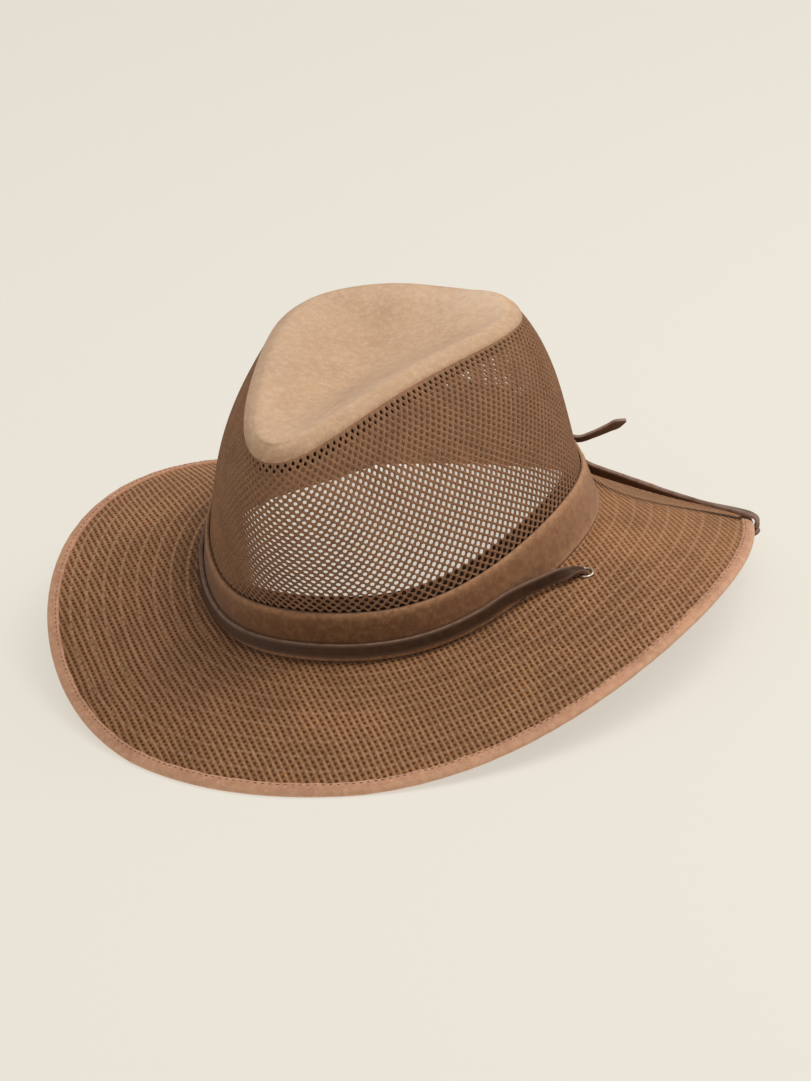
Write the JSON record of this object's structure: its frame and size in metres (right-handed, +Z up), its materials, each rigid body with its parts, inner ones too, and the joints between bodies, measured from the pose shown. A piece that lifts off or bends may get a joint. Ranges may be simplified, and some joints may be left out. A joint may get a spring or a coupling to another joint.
{
  "type": "mesh crown sun hat",
  "caption": "Teardrop-crowned sun hat with net sides, a suede tip and band, a ribbed brim bound in suede and a flat leather chin lace tied behind the crown.",
  "frame": {"origin": "middle of the bounding box's bottom face, on the surface that the brim rests on", "axes": "+Z up; the wearer looks along -Y, so the narrow end of the tip is towards -Y; +X is the wearer's left"},
  "size_m": [0.3158, 0.3268, 0.1352],
  "materials": {
    "tip_suede": "tan suede with a short nap",
    "seam_tape": "dark brown woven tape",
    "crown_net": "brown net of coarse round cells",
    "band_suede": "brown suede, rubbed lighter at its edges",
    "sweatband_cloth": "dark brown cloth",
    "brim_cloth": "brown net over a stiff cloth, stitched in rings",
    "binding_suede": "tan suede tape",
    "eyelet_metal": "aged, dull",
    "lace_leather": "dark brown smooth leather, greyed where light grazes it"
  },
  "bodies": {
    "root": {"crown_tip": "tip_suede", "crown_seam_tape": "seam_tape", "crown_net": "crown_net", "hat_band": "band_suede", "sweatband": "sweatband_cloth", "brim": "brim_cloth", "brim_binding": "binding_suede", "lace_eyelet_left": "eyelet_metal", "lace_eyelet_right": "eyelet_metal", "chin_lace": "lace_leather", "lace_knot": "lace_leather"}
  },
  "joints": []
}
